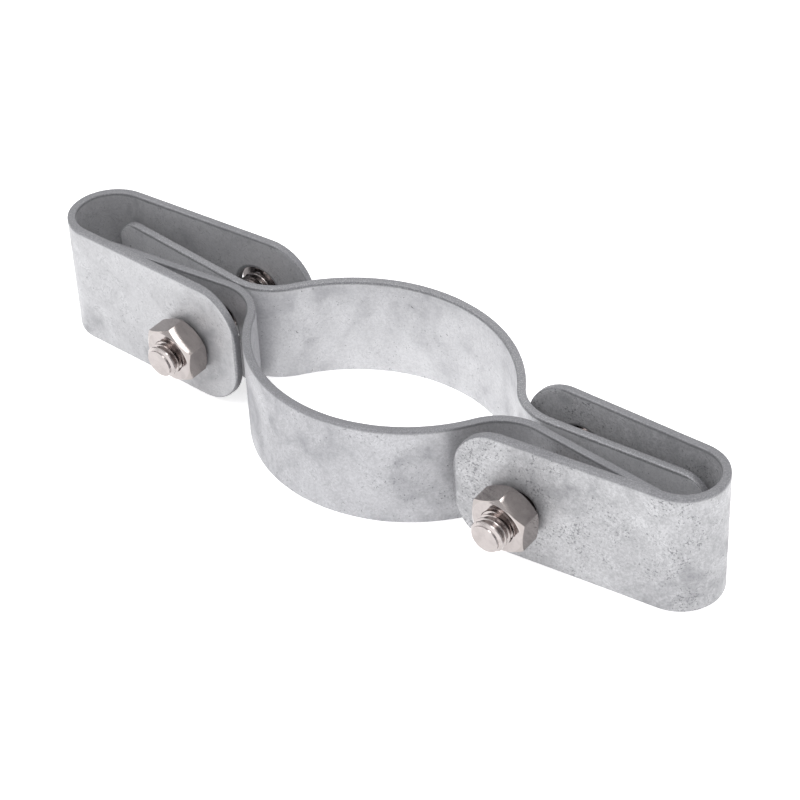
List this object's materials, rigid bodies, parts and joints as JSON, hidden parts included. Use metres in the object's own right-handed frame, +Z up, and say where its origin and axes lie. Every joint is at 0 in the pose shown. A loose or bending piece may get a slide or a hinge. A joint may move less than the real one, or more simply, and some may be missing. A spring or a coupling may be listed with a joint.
{
  "type": "panel clip",
  "caption": "Galvanised flat-bar post clip: an arched collar in facing halves with a bolted U-shaped clip strap, closed end outward, at each end.",
  "frame": {"origin": "on the post's axis, in the plane of the lower edges of all four straps", "axes": "+X along the clip to the right end, +Y across it from the nuts to the bolt heads, +Z up along the post"},
  "size_m": [0.1805, 0.0524, 0.03],
  "materials": {
    "galvanised_steel": "hot-dip galvanised, matt mottled grey with fine dark specks",
    "stainless_steel": "plain machined, satin to bright"
  },
  "bodies": {
    "root": {"back_half": "galvanised_steel", "front_half": "galvanised_steel", "left_clip": "galvanised_steel", "right_clip": "galvanised_steel", "left_bolt": "stainless_steel", "right_bolt": "stainless_steel", "left_nut": "stainless_steel", "right_nut": "stainless_steel"}
  },
  "joints": []
}
